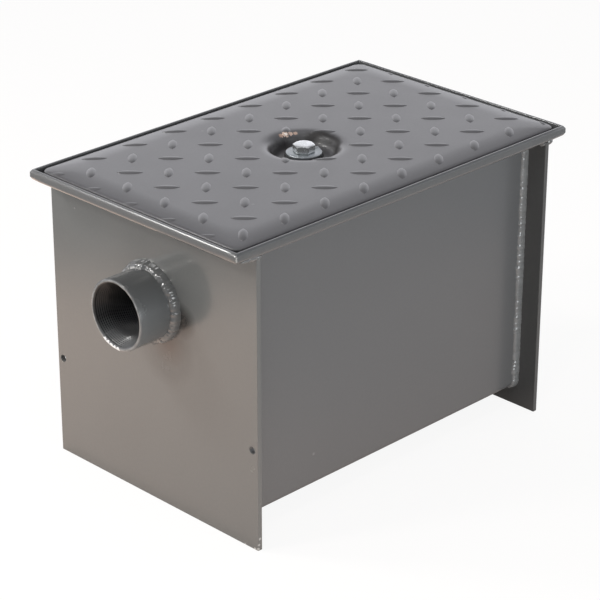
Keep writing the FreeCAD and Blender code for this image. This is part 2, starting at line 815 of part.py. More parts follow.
def build():
    """Make every piece, and return those that the part is made of."""
    pieces = [make_tank_body()]
    for name, side in (("inlet", "-"), ("outlet", "")):
        pieces.append(make_end_plate("end_plate_" + name, side))
        pieces.append(make_rim_angle("rim_angle_" + name, "XZ_Plane", side,
                                     "rim_length / 2", "rim_width / 2"))
        pieces.append(make_coupling("coupling_" + name, side))
        pieces.append(make_coupling_weld("coupling_weld_" + name, side))
        pieces.append(make_seam_weld("seam_weld_" + name, side))
        pieces.append(make_baffle("baffle_" + name, side))
        for hand, y_side in (("left", ""), ("right", "-")):
            pieces.append(make_guide("baffle_guide_%s_%s" % (name, hand), side, y_side))
    for hand, y_side in (("left", ""), ("right", "-")):
        pieces.append(make_rim_angle("rim_angle_" + hand, "YZ_Plane", y_side,
                                     "rim_width / 2", "rim_length / 2"))
    pieces.append(make_corner_welds())
    pieces.append(make_cover(make_cover_plate()))
    pieces.append(make_gasket())
    pieces.append(make_ring("sealing_washer", "dish_floor", "seal_thickness",
                            "seal_diameter", "seal_bore"))
    pieces.append(make_ring("flat_washer", "dish_floor + seal_thickness", "washer_thickness",
                            "washer_diameter", "bolt_hole_diameter"))
    pieces.append(make_bolt())
    pieces.append(make_bar())
    pieces.append(make_nut())
    return pieces


def check_and_write(pieces):
    """Stop on any failed feature or bad solid, then write one file for each piece."""
    doc.recompute()
    for item in doc.Objects:
        if "Invalid" in item.State or "Error" in item.State:
            raise RuntimeError("%s failed: %s" % (item.Name, item.State))
    for piece in pieces:
        if piece.Shape.isNull() or not piece.Shape.isValid() or not piece.Shape.Solids:
            raise RuntimeError(piece.Label + " isn't a valid solid")
    os.makedirs("parts", exist_ok=True)
    for piece in pieces:
        piece.Shape.exportStep("parts/%s.step" % piece.Label)
        print("%-28s %2d solid(s) %10.1f mm3" % (
            piece.Label, len(piece.Shape.Solids), piece.Shape.Volume))


check_and_write(build())
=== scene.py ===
import math

import bmesh
import bpy
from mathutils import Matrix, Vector, noise


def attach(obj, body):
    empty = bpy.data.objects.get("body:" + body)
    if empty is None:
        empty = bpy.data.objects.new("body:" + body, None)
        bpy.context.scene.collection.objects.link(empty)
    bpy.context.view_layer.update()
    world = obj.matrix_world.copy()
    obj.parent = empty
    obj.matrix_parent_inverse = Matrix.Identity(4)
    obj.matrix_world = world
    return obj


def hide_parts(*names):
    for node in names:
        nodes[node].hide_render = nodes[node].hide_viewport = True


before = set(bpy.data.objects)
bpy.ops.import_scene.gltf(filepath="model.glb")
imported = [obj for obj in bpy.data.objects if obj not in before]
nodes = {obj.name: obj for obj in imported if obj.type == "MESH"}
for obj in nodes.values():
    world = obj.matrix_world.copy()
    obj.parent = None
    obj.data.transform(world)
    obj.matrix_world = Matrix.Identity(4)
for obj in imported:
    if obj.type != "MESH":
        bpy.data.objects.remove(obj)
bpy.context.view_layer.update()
MM = 0.001

# Sizes of the finished pieces, in millimetres. Most are those of the solids. The lugs are
# shorter and lower than theirs, and fine forms such as threads are only here.
RIM_HALF = (221.7, 139.7)
RIM_TOP = 303.5
RIM_UNDERSIDE = 292.7
RIM_CORNER = 1.6
HEEL = 3.6
LEDGE_TOP = 296.7
LEDGE = 30.0
LIP = 4.0
COVER_HALF = (214.3, 132.3)
COVER_SEAT = 299.5
COVER_EDGE_TOP = 302.7
CROWN_TOP = 305.7
SHEET = 3.2
SHOULDER = 26.0
DISH_REACH = 47.0
DISH_FLOOR = 293.1
BOLT_HOLE = 7.15
LUG_PITCH = 50.74
LUG_SHIFT = (-12.0, 12.5)
LUG = (24.4, 8.4, 1.15)
PIPE_HEIGHT = 205.8
PIPE_RADIUS = 34.9
PIPE_BORE = 28.6
PIPE_END_X = 186.4
PIPE_THREAD = 2.21
MOUTH = 31.4
MOUTH_X = 240.7
END_FACE = 197.2
END_INNER = 192.4
WALL_OUTER = 115.3
TANK_UNDERSIDE = 21.0
TANK_BEND = 8.0
WING = 138.8
HEAD_SEAT = 298.9
HEAD_FLATS = 19.05
HEAD_HEIGHT = 7.9
HEAD_TURN = 7.7
BOLT_TIP = 260.8
BOLT_THREAD = 1.954
SHANK = 6.3
WASHER_SEAT = 296.1


def unit_noise(x, y=0.0, z=0.0):
    """Smooth noise between -1 and 1 that is the same on every run."""
    return noise.noise(Vector((x, y, z)))


def turns(around):
    """Angles of a full turn, cut into equal steps."""
    return [2 * math.pi * index / around for index in range(around)]


# Node helpers

def add(tree, kind, links=(), **values):
    """Add a node, set its properties or input values, and link its inputs."""
    node = tree.nodes.new(kind)
    for key, value in values.items():
        if hasattr(node, key):
            setattr(node, key, value)
        else:
            node.inputs[key.replace("_", " ")].default_value = value
    for source, target in links:
        tree.links.new(source, node.inputs[target])
    return node


def feed(tree, socket, value):
    """Give a socket a link or a plain value."""
    if isinstance(value, bpy.types.NodeSocket):
        tree.links.new(value, socket)
    else:
        socket.default_value = value


def maths(tree, operation, *terms):
    node = add(tree, "ShaderNodeMath", operation=operation)
    for socket, term in zip(node.inputs, terms):
        feed(tree, socket, term)
    return node.outputs[0]


def product(tree, first, *others):
    for other in others:
        first = maths(tree, "MULTIPLY", first, other)
    return first


def vector_maths(tree, operation, first, second=None):
    """A number for a length, a distance or a dot product, and otherwise a vector."""
    node = add(tree, "ShaderNodeVectorMath", [(first, 0)], operation=operation)
    if second is not None:
        feed(tree, node.inputs[1], second)
    number = operation in ("LENGTH", "DISTANCE", "DOT_PRODUCT")
    return node.outputs["Value" if number else "Vector"]


def parts(tree, vector):
    """The three coordinates of a vector."""
    return tuple(add(tree, "ShaderNodeSeparateXYZ", [(vector, "Vector")]).outputs)


def noise_value(tree, vector, scale, detail=3.0, rough=0.5):
    """Noise between 0 and 1. Its scale may be a socket."""
    node = add(tree, "ShaderNodeTexNoise", [(vector, "Vector")], Detail=detail, Roughness=rough)
    feed(tree, node.inputs["Scale"], scale)
    return node.outputs["Fac"]


def ramp(tree, factor, low, high, to_min=0.0, to_max=1.0, shape="LINEAR"):
    """Map the factor's range from low to high onto another range, clamped."""
    node = add(tree, "ShaderNodeMapRange", [(factor, "Value")], interpolation_type=shape,
               To_Min=to_min, To_Max=to_max)
    feed(tree, node.inputs["From Min"], low)
    feed(tree, node.inputs["From Max"], high)
    return node.outputs["Result"]


def mix_colour(tree, factor, first, second):
    """Mix two colours. Each may be a socket or a plain colour."""
    node = add(tree, "ShaderNodeMix", data_type="RGBA")
    sockets = {socket.identifier: socket for socket in node.inputs}
    for label, value in (("Factor_Float", factor), ("A_Color", first), ("B_Color", second)):
        feed(tree, sockets[label], value)
    return [socket for socket in node.outputs if socket.type == "RGBA"][0]


# Materials. Places and lengths are in metres here, on the object's own axes.

def new_group(name, inputs, outputs):
    """An empty shader node group, with the sockets that it starts from and ends in."""
    group = bpy.data.node_groups.new(name, "ShaderNodeTree")
    for label, kind, *value in inputs:
        socket = group.interface.new_socket(label, in_out="INPUT",
                                            socket_type="NodeSocket" + kind)
        if value:
            socket.default_value = value[0]
    for label, kind in outputs:
        group.interface.new_socket(label, in_out="OUTPUT", socket_type="NodeSocket" + kind)
    start = group.nodes.new("NodeGroupInput").outputs
    return group, start, group.nodes.new("NodeGroupOutput").inputs


def make_enamel_group():
    """Sprayed enamel: clouds of tone, specks, a few nibs, orange peel, and a warm dusty film low
    down, partly real and partly painted warm light from the floor.
    """
    group, start, end = new_group("sprayed_enamel", [
        ("Vector", "Vector"), ("Colour", "Color"), ("Shade", "Color"), ("Cloud Scale", "Float"),
        ("Cloud Amount", "Float"), ("Gloss Low", "Float"), ("Gloss High", "Float"),
        ("Peel", "Float"), ("Waves", "Float"), ("Dust", "Float"),
        ("Dust Colour", "Color", (0.36, 0.30, 0.26, 1)), ("Dust From", "Float"),
        ("Dust To", "Float"),
    ], [("Colour", "Color"), ("Roughness", "Float"), ("Height", "Float")])
    vector = start["Vector"]
    clouds = noise_value(group, vector, start["Cloud Scale"], 4.0, 0.55)
    amount = product(group, ramp(group, clouds, 0.35, 0.7), start["Cloud Amount"])
    tone = mix_colour(group, amount, start["Colour"], start["Shade"])
    specks = ramp(group, noise_value(group, vector, 330.0, 2.0), 0.35, 0.75, 0.0, 0.05)
    tone = mix_colour(group, specks, tone, (0.24, 0.24, 0.235, 1))
    cells = add(group, "ShaderNodeTexVoronoi", [(vector, "Vector")], feature="F1", Scale=26.0)
    nibs = product(group, ramp(group, cells.outputs["Distance"], 0.055, 0.02),
                   ramp(group, noise_value(group, vector, 13.0, 1.0), 0.6, 0.68))
    tone = mix_colour(group, product(group, nibs, 0.35), tone, (0.42, 0.42, 0.41, 1))
    # A warm film towards the bottom, partly a real dusty film and partly painted warm light from
    # the floor.
    film = ramp(group, parts(group, vector)[2], start["Dust From"], start["Dust To"],
                shape="SMOOTHSTEP")
    uneven = ramp(group, noise_value(group, vector, 6.0, 2.0), 0.3, 0.7, 0.8, 1.0)
    film = product(group, film, uneven, start["Dust"])
    tone = mix_colour(group, film, tone, start["Dust Colour"])
    gloss = ramp(group, noise_value(group, vector, 17.0, 5.0, 0.6), 0.3, 0.7)
    spread = maths(group, "SUBTRACT", start["Gloss High"], start["Gloss Low"])
    rough = maths(group, "ADD", product(group, gloss, spread), start["Gloss Low"])
    peel = product(group, noise_value(group, vector, 420.0, 2.0), start["Peel"], 0.04)
    waves = product(group, noise_value(group, vector, 22.0, 1.0), start["Waves"])
    height = maths(group, "ADD", peel, waves)
    height = maths(group, "ADD", height, product(group, nibs, 0.12))
    for label, socket in (("Colour", tone), ("Roughness", rough), ("Height", height)):
        group.links.new(socket, end[label])
    return group


def make_chip_and_glint_group():
    """A ragged mask round one place, for chipped paint and for painted glints."""
    group, start, end = new_group("chipped_place", [
        ("Vector", "Vector"), ("Place", "Vector"), ("Radius", "Float"), ("Raggedness", "Float"),
    ], [("Mask", "Float")])
    distance = vector_maths(group, "DISTANCE", start["Vector"], start["Place"])
    share = maths(group, "DIVIDE", distance, start["Radius"])
    bite = product(group, noise_value(group, start["Vector"], 700.0), start["Raggedness"])
    group.links.new(ramp(group, maths(group, "ADD", share, bite), 1.05, 0.95), end["Mask"])
    return group


ENAMEL = make_enamel_group()
CHIP_AND_GLINT = make_chip_and_glint_group()


def chip_and_glint_mask(tree, place, spot, radius, ragged=0.6):
    return add(tree, "ShaderNodeGroup", [(place, "Vector")], node_tree=CHIP_AND_GLINT, Place=spot,
               Radius=radius, Raggedness=ragged).outputs["Mask"]


def opened(material):
    """A material's node tree, its shader's inputs, and the place on the object."""
    tree = material.node_tree
    place = tree.nodes.new("ShaderNodeTexCoord").outputs["Object"]
    return tree, tree.nodes["Principled BSDF"].inputs, place


def new_material(name):
    material = bpy.data.materials.new(name)
    material.use_nodes = True
    return (material, *opened(material))


def add_relief(tree, shader, height, strength, distance):
    bump = add(tree, "ShaderNodeBump", [(height, "Height")], Strength=strength,
               Distance=distance)
    tree.links.new(bump.outputs["Normal"], shader["Normal"])


def enamel_material(name, colour, shade, gloss, clouds, peel=0.5, waves=0.5, coat=0.0,
                    coat_rough=0.12, chips_and_glints=(), dust_and_light=(0.0, 0.29, 0.18)):
    """The trap's grey enamel, with its own tone and gloss on each piece."""
    material, tree, shader, place = new_material(name)
    enamel = add(tree, "ShaderNodeGroup", [(place, "Vector")], node_tree=ENAMEL,
                 Colour=(*colour, 1), Shade=(*shade, 1), Cloud_Scale=clouds[0],
                 Cloud_Amount=clouds[1], Gloss_Low=gloss[0], Gloss_High=gloss[1], Peel=peel,
                 Waves=waves, Dust=dust_and_light[0], Dust_From=dust_and_light[1], Dust_To=dust_and_light[2]).outputs
    tone = enamel["Colour"]
    for spot, radius in chips_and_glints:
        chip_and_glint = chip_and_glint_mask(tree, place, spot, radius)
        tone = mix_colour(tree, chip_and_glint, tone, (0.42, 0.415, 0.40, 1))
    if chips_and_glints:
        tree.links.new(product(tree, chip_and_glint, 0.7), shader["Metallic"])
    tree.links.new(tone, shader["Base Color"])
    tree.links.new(enamel["Roughness"], shader["Roughness"])
    add_relief(tree, shader, enamel["Height"], 0.3, 0.0012)
    shader["Coat Weight"].default_value = coat
    shader["Coat Roughness"].default_value = coat_rough
    return material


def shift_tone(tree, mask, colour, amount):
    """Lay another tone over a material where the mask is."""
    base = tree.nodes["Principled BSDF"].inputs["Base Color"]
    share = product(tree, mask, amount)
    tree.links.new(mix_colour(tree, share, base.links[0].from_socket, (*colour, 1)), base)


def painted_shadow_patch(material, spot, core, edge, colour, amount):
    """A patch of painted shadow round a spot, full inside its core and gone at its edge."""
    tree, _, place = opened(material)
    gap = vector_maths(tree, "DISTANCE", place, spot)
    shift_tone(tree, ramp(tree, gap, core, edge, 1.0, 0.0), colour, amount)


def dark_bore(material):
    """Inside a coupling the thread is dark, partly unpainted steel and partly painted shade. The
    coupling's top gets painted shade, and the mouth's edge is lighter, partly scuffed and partly
    painted highlight.
    """
    tree, shader, place = opened(material)
    x, y, z = parts(tree, place)
    rise = maths(tree, "SUBTRACT", z, PIPE_HEIGHT * MM)
    across = add(tree, "ShaderNodeCombineXYZ", [(y, "X"), (rise, "Y")]).outputs[0]
    inside = ramp(tree, vector_maths(tree, "LENGTH", across), 0.0326, 0.0320)
    # The bore is darkened, partly as unpainted steel and partly as painted shade; low down it is
    # darkened half as much, as painted light on the lower thread.
    bare_steel_and_shade = product(tree, inside, ramp(tree, rise, -0.027, -0.012, 0.5, 1.0))
    # Painted shade on the coupling's upper side.
    shift_tone(tree, ramp(tree, rise, 0.010, 0.030), (0.06, 0.06, 0.058), 0.6)
    shift_tone(tree, bare_steel_and_shade, (0.008, 0.008, 0.008), 0.96)
    # A light band round the mouth's edge, partly scuffed paint and partly painted sheen.
    lip = ramp(tree, maths(tree, "ABSOLUTE", x), 0.2398, 0.2405)
    wear_and_sheen = ramp(tree, noise_value(tree, place, 160.0), 0.35, 0.6, 0.35, 1.0)
    shift_tone(tree, product(tree, lip, wear_and_sheen), (0.36, 0.37, 0.37), 0.6)
    # Near white spots low on the mouth's edge are painted glints.
    lip_radius = 0.0337
    for angle in (-92, -84, -76, -68, -60):
        turn = math.radians(angle)
        spot = (-0.2402, lip_radius * math.cos(turn),
                PIPE_HEIGHT * MM + lip_radius * math.sin(turn))
        shift_tone(tree, chip_and_glint_mask(tree, place, spot, 0.0034), (0.95, 0.96, 0.96), 0.9)
    sheen = maths(tree, "SUBTRACT", product(tree, lip, 0.14), product(tree, bare_steel_and_shade, 0.4))
    rough = shader["Roughness"]
    tree.links.new(maths(tree, "SUBTRACT", rough.links[0].from_socket, sheen), rough)


def painted_shade_in_dish(material):
    """Painted shade on the dish's wall and round its foot, thinner on one side, with painted
    warm glints at the top of the wall.
    """
    tree, shader, place = opened(material)
    x, y, _ = parts(tree, place)
    across = add(tree, "ShaderNodeCombineXYZ", [(x, "X"), (y, "Y")]).outputs[0]
    stray = maths(tree, "SUBTRACT", noise_value(tree, place, 90.0, 4.0), 0.5)
    reach = maths(tree, "ADD", vector_maths(tree, "LENGTH", across),
                  product(tree, stray, 0.006))
    toward = vector_maths(tree, "NORMALIZE", across)
    right = vector_maths(tree, "DOT_PRODUCT", toward, (1.0, 0.06, 0))
    reach = maths(tree, "SUBTRACT", reach, ramp(tree, right, 0.72, 0.96, 0.0, 0.0068))
    # Painted light: the shade is thinner on one side of the wall.
    painted_light_side = vector_maths(tree, "DOT_PRODUCT", toward, (math.cos(0.96), math.sin(0.96), 0))
    painted_shade = product(tree, ramp(tree, reach, 0.0352, 0.0305),
                    ramp(tree, reach, 0.0235, 0.0285, 0.35, 1.0),
                    ramp(tree, painted_light_side, 0.9, 0.98, 1.0, 0.7))
    shift_tone(tree, painted_shade, (0.012, 0.010, 0.009), 0.93)
    rough = shader["Roughness"]
    tree.links.new(maths(tree, "ADD", rough.links[0].from_socket, product(tree, painted_shade, 0.3)),
                   rough)
    tree.links.new(product(tree, maths(tree, "SUBTRACT", 1.0, painted_shade), 0.3),
                   shader["Coat Weight"])
    # Painted warm glints, one with a white centre, near the top of the dish's wall.
    wall_radius = 0.0364
    for angle, size, tone in ((82, 0.0040, (0.55, 0.36, 0.27)), (75, 0.0056, (0.8, 0.6, 0.48)),
                              (74, 0.0030, (1.0, 0.95, 0.9)), (66, 0.0042, (0.7, 0.5, 0.4)),
                              (58, 0.0036, (0.6, 0.42, 0.33))):
        turn = math.radians(angle)
        spot = (wall_radius * math.cos(turn), wall_radius * math.sin(turn), 0.3038)
        shift_tone(tree, chip_and_glint_mask(tree, place, spot, size, 0.9), tone, 0.8)


def zinc_material(name, colour, rough):
    """Bright zinc plate: a bluish metal with fine crystal tone and faint rubbing."""
    material, tree, shader, place = new_material(name)
    crystals = add(tree, "ShaderNodeTexVoronoi", [(place, "Vector")], feature="F1", Scale=260.0)
    grains = ramp(tree, crystals.outputs["Distance"], 0.0, 0.8)
    dull = noise_value(tree, place, 75.0, 4.0)
    tone = mix_colour(tree, grains, (*colour, 1), tuple(c * 0.86 for c in colour) + (1,))
    tone = mix_colour(tree, product(tree, ramp(tree, dull, 0.42, 0.68), 0.35), tone,
                      (0.34, 0.36, 0.33, 1))
    tree.links.new(tone, shader["Base Color"])
    tree.links.new(ramp(tree, dull, 0.3, 0.7, *rough), shader["Roughness"])
    shader["Metallic"].default_value = 0.86
    add_relief(tree, shader, noise_value(tree, place, 480.0, 2.0), 0.12, 0.0004)
    return material


def rubber_material(name):
    """Black rubber with a dry bloom."""
    material, tree, shader, place = new_material(name)
    bloom = noise_value(tree, place, 60.0, 4.0)
    tone = mix_colour(tree, ramp(tree, bloom, 0.4, 0.75), (0.009, 0.009, 0.009, 1),
                      (0.022, 0.022, 0.021, 1))
    tree.links.new(tone, shader["Base Color"])
    tree.links.new(ramp(tree, bloom, 0.3, 0.7, 0.55, 0.8), shader["Roughness"])
    add_relief(tree, shader, noise_value(tree, place, 900.0, 2.0), 0.25, 0.0003)
    return material


# The end plate's warm film low down is partly painted warm light from the floor.
plate_paint = enamel_material(
    "enamel_end_plate", (0.142, 0.147, 0.144), (0.134, 0.138, 0.135), (0.2, 0.28), (6.0, 0.7),
    coat=0.6, peel=0.25, dust_and_light=(0.05, 0.28, 0.05),
    chips_and_glints=[((-0.1972, -0.1388, 0.0015), 0.0024), ((-0.1962, -0.1388, 0.006), 0.0018),
           ((-0.1972, -0.1345, 0.0005), 0.0024), ((-0.195, -0.1388, 0.012), 0.002),
           ((-0.1972, -0.1215, 0.0003), 0.0016), ((-0.1972, 0.1053, 0.267), 0.0011)])
# The outlet plate is the same enamel as the inlet's, painted darker here as shade on its dim
# face.
shaded_outlet_paint = enamel_material(
    "enamel_outlet_plate", (0.098, 0.099, 0.097), (0.090, 0.091, 0.089), (0.4, 0.46),
    (6.0, 0.5), peel=0.2)
# The body's warm film low down is partly painted light from the floor.
body_paint = enamel_material(
    "enamel_body", (0.128, 0.132, 0.136), (0.120, 0.124, 0.127), (0.28, 0.31), (5.0, 0.25),
    coat=0.3, peel=0.1, waves=0.05, dust_and_light=(0.06, 0.28, 0.05))
# The light places down the rim's near vertical corner are a painted highlight.
rim_paint = enamel_material(
    "enamel_rim", (0.112, 0.115, 0.116), (0.100, 0.102, 0.103), (0.23, 0.27), (9.0, 0.6),
    coat=0.8, peel=0.1, waves=0.1,
    chips_and_glints=[((-0.2214, -0.1394, 0.2948 + 0.0017 * step), 0.0014) for step in range(5)])
cover_paint = enamel_material(
    "enamel_cover", (0.105, 0.104, 0.107), (0.095, 0.094, 0.096), (0.28, 0.33), (11.0, 0.5),
    coat=0.3, peel=0.12, waves=0.35)
pipe_paint = enamel_material(
    "enamel_coupling", (0.138, 0.144, 0.147), (0.124, 0.129, 0.131), (0.25, 0.28),
    (22.0, 0.3), coat=0.3, peel=0.1, waves=0.0)
weld_paint = enamel_material(
    "enamel_weld", (0.15, 0.153, 0.152), (0.118, 0.12, 0.119), (0.12, 0.18), (60.0, 0.8),
    coat=1.0, coat_rough=0.06, peel=0.05, waves=0.05)
seam_paint = enamel_material(
    "enamel_seam", (0.25, 0.255, 0.255), (0.19, 0.194, 0.194), (0.1, 0.18), (90.0, 0.8),
    coat=1.0, coat_rough=0.06, waves=0.2)
dark_bore(pipe_paint)
painted_shade_in_dish(cover_paint)
# Painted shadow of the near coupling on the plate, beside its weld: a brown patch that also
# holds a painted warm reflection, and a dark patch
painted_shadow_patch(plate_paint, (-0.1972, -0.022, 0.170), 0.004, 0.024, (0.085, 0.052, 0.038), 0.55)
painted_shadow_patch(plate_paint, (-0.1972, -0.042, 0.200), 0.005, 0.019, (0.018, 0.018, 0.017), 0.88)
zinc = zinc_material("zinc_plate", (0.90, 0.92, 0.93), (0.2, 0.3))
dull_zinc = zinc_material("zinc_washer_face", (0.52, 0.555, 0.575), (0.3, 0.42))
rubber = rubber_material("black_rubber")


# Mesh helpers

def sweep_faces(rings, count, close_rings=True):
    """Quads between rings that have the same number of points."""
    faces = []
    for ring in range(rings if close_rings else rings - 1):
        after = (ring + 1) % rings
        for index in range(count):
            beside = (index + 1) % count
            faces.append((ring * count + index, ring * count + beside,
                          after * count + beside, after * count + index))
    return faces


def end_faces(rings, count):
    """The two faces that close a sweep at its first and its last ring."""
    base = (rings - 1) * count
    return [tuple(range(count)), tuple(base + index for index in reversed(range(count)))]


def written(work, name):
    mesh = bpy.data.meshes.new(name)
    work.to_mesh(mesh)
    work.free()
    return mesh


def closed_mesh(name, points, faces):
    """A closed mesh from points in millimetres, with its faces turned outwards."""
    work = bmesh.new()
    made = [work.verts.new(Vector(point) * MM) for point in points]
    for face in faces:
        work.faces.new([made[index] for index in face])
    bmesh.ops.recalc_face_normals(work, faces=work.faces)
    if work.calc_volume(signed=True) < 0:
        bmesh.ops.reverse_faces(work, faces=work.faces)
    return written(work, name)


def link_object(name, data):
    thing = bpy.data.objects.new(name, data)
    bpy.context.scene.collection.objects.link(thing)
    return thing


def set_paint(mesh, material):
    mesh.materials.clear()
    mesh.materials.append(material)


def finish_mesh(mesh, material, angle):
    """Give a mesh its material, smooth faces and sharp edges over an angle."""
    set_paint(mesh, material)
    mesh.shade_smooth()
    mesh.set_sharp_from_angle(angle=math.radians(angle))
    mesh.update()


def place_piece(piece, body, replaced=()):
    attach(piece, body)
    if replaced:
        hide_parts(*replaced)


def add_piece(mesh, material, body, replaced, angle):
    finish_mesh(mesh, material, angle)
    place_piece(link_object(mesh.name, mesh), body, replaced)


def applied(piece):
    """The piece's own mesh, with its modifiers carried out."""
    bpy.context.view_layer.update()
    graph = bpy.context.evaluated_depsgraph_get()
    result = bpy.data.meshes.new_from_object(piece.evaluated_get(graph))
    piece.modifiers.clear()
    piece.data = result
    return result


def softened(node, material, width):
    """A copy of a solid with its sharp edges broken, as on real cut and folded steel."""
    work = bmesh.new()
    work.from_mesh(nodes[node].data)
    bmesh.ops.remove_doubles(work, verts=work.verts, dist=0.000005)
    bmesh.ops.dissolve_limit(work, angle_limit=math.radians(0.6), verts=work.verts,
                             edges=work.edges)
    name = node + "_finished"
    piece = link_object(name, written(work, name))
    bevel = piece.modifiers.new("broken_edges", "BEVEL")
    bevel.width = width * MM
    bevel.segments = 2
    bevel.limit_method = "ANGLE"
    bevel.angle_limit = math.radians(30.0)
    piece.data.shade_smooth()
    piece.modifiers.new("flat_faces", "WEIGHTED_NORMAL").weight = 100
    set_paint(applied(piece), material)
    place_piece(piece, "tank", (node,))


def rounded_ring(half_x, half_y, radius, runs, corner):
    """Points round a rounded rectangle, the same number on every ring."""
    arcs = []
    for quarter in range(4):
        centre_x = (1 if quarter in (0, 3) else -1) * (half_x - radius)
        centre_y = (1 if quarter in (0, 1) else -1) * (half_y - radius)
        arc = []
        for step in range(corner + 1):
            turn = quarter * math.pi / 2 + math.pi / 2 * step / corner
            arc.append((centre_x + radius * math.cos(turn), centre_y + radius * math.sin(turn)))
        arcs.append(arc)
    ring = []
    for quarter, arc in enumerate(arcs):
        ring.extend(arc)
        last, first = arc[-1], arcs[(quarter + 1) % 4][0]
        for step in range(1, runs):
            share = step / runs
            ring.append((last[0] + (first[0] - last[0]) * share,
                         last[1] + (first[1] - last[1]) * share))
    return ring


# Rim: four mitred angles, welded and ground flush at the corners

def make_rim():
    section = [(LEDGE, RIM_UNDERSIDE), (LEDGE, LEDGE_TOP - 0.5), (LEDGE - 0.5, LEDGE_TOP),
               (LIP + 1.0, LEDGE_TOP), (LIP + 0.3, LEDGE_TOP + 0.3), (LIP, LEDGE_TOP + 1.0),
               (LIP, RIM_TOP - 1.0)]
    for step in range(1, 5):
        turn = math.pi / 2 * step / 4
        section.append((LIP - 1.0 + math.cos(turn), RIM_TOP - 1.0 + math.sin(turn)))
    section += [(2.1, RIM_TOP), (1.85, RIM_TOP - 0.05), (0.08, RIM_TOP - 1.7),
                (0, RIM_TOP - 1.95)]
    for step in range(7):
        turn = math.pi * (1 + step / 12)
        section.append((HEEL + HEEL * math.cos(turn),
                        RIM_UNDERSIDE + HEEL + HEEL * math.sin(turn)))
    points = []
    for inset, height in section:
        radius = max(RIM_CORNER - inset * 0.4, 0.4)
        ring = rounded_ring(RIM_HALF[0] - inset, RIM_HALF[1] - inset, radius, 24, 4)
        for x, y in ring:
            lift = 0.0
            away = math.hypot(RIM_HALF[0] - abs(x), RIM_HALF[1] - abs(y))
            if height > RIM_TOP - 2:
                lift = -0.12 + 0.12 * unit_noise(x * 0.03, y * 0.03, 4.0)
                lift -= 0.9 * math.exp(-(away / 2.5) ** 2)
            elif height < RIM_UNDERSIDE + HEEL:
                lift = 1.6 * math.exp(-(away / 3.0) ** 2)
            points.append((x, y, height + lift))
    mesh = closed_mesh("rim_frame", points, sweep_faces(len(section), len(ring)))
    add_piece(mesh, rim_paint, "tank",
              ("rim_angle_inlet", "rim_angle_outlet", "rim_angle_left", "rim_angle_right"), 50.0)


# Cover: crowned tread plate with a pressed dish

def crown_height(inset):
    left = 1 - min(max(inset, 0.0), SHOULDER) / SHOULDER
    return CROWN_TOP - (CROWN_TOP - COVER_EDGE_TOP) * left * left


def cover_ring(inset):
    """The cover's outline, moved in."""
    return rounded_ring(COVER_HALF[0] - inset, COVER_HALF[1] - inset, 9 + 0.6 * inset, 30, 12)


def cover_levels():
    """The plate's section, from its lower edge over the top, down the dish and back below.

    An edge level is moved in from the outline, a circle has its own radius, and a blend lies
    between the shoulder's inner end and the dish.
    """
    levels = [("edge", inset, height) for inset, height in (
        (3.0, COVER_SEAT), (0.7, COVER_SEAT), (0.2, COVER_SEAT + 0.2), (0.0, COVER_SEAT + 0.7),
        (0.0, COVER_EDGE_TOP - 0.9), (0.25, COVER_EDGE_TOP - 0.3),
        (0.8, COVER_EDGE_TOP - 0.02))]
    for step in range(1, 17):
        inset = 0.8 + (SHOULDER - 0.8) * step / 16
        levels.append(("edge", inset, crown_height(inset)))
    levels += [("blend", share, CROWN_TOP) for share in (0.15, 0.35, 0.55, 0.75, 0.9)]
    levels += [("circle", radius, height) for radius, height in (
        (DISH_REACH, CROWN_TOP), (44.5, 305.65), (42.0, 305.5), (40.0, 305.2), (38.2, 304.75),
        (36.6, 304.1), (35.2, 303.2), (34.0, 302.0), (33.1, 300.5), (32.3, 298.8),
        (31.5, 297.0), (30.5, 295.3), (29.2, 294.1), (27.4, 293.35), (25.2, DISH_FLOOR),
        (21.0, DISH_FLOOR), (14.0, DISH_FLOOR), (BOLT_HOLE + 0.25, DISH_FLOOR),
        (BOLT_HOLE, 292.8), (BOLT_HOLE, 290.2), (BOLT_HOLE + 0.25, 289.9), (14.0, 289.9),
        (26.0, 289.9), (29.4, 290.6), (31.8, 292.0), (34.0, 294.4), (35.8, 297.2),
        (37.6, 299.8), (39.8, 301.5), (42.6, 302.3), (DISH_REACH, 302.5))]
    levels += [("blend", share, CROWN_TOP - SHEET) for share in (0.8, 0.5, 0.2)]
    levels += [("edge", inset, crown_height(inset) - SHEET)
               for inset in (26.0, 22.0, 18.0, 14.0, 10.0, 7.0, 5.0)]
    return levels


def make_cover_plate():
    inner = cover_ring(SHOULDER)
    levels = cover_levels()
    points = []
    for kind, value, height in levels:
        if kind == "edge":
            ring = cover_ring(value)
        else:
            ring = []
            for x, y in inner:
                angle = math.atan2(y, x)
                radius = DISH_REACH if kind == "blend" else value
                round_x = radius * math.cos(angle)
                round_y = radius * math.sin(angle)
                if kind == "blend":
                    round_x = x + (round_x - x) * value
                    round_y = y + (round_y - y) * value
                ring.append((round_x, round_y))
        for x, y in ring:
            lift = 0.0
            reach = math.hypot(x, y)
            if kind == "circle" and 22 < reach < 46 and height > 290.5:
                stray = math.sin(math.pi * (reach - 22) / 24)
                angle = math.atan2(y, x)
                push = 0.55 * stray * unit_noise(1.4 * math.cos(angle), 1.4 * math.sin(angle),
                                                 2.0)
                x += push * math.cos(angle)
                y += push * math.sin(angle)
            if reach > 20 and height > COVER_EDGE_TOP - 0.1:
                lift = 0.28 * unit_noise(x * 0.011, y * 0.011, 7.0)
                lift *= min(1.0, min(COVER_HALF[0] - abs(x), COVER_HALF[1] - abs(y)) / 12)
                lift = min(lift, 0.0)
            points.append((x, y, height + lift))
    return points, sweep_faces(len(levels), len(inner))


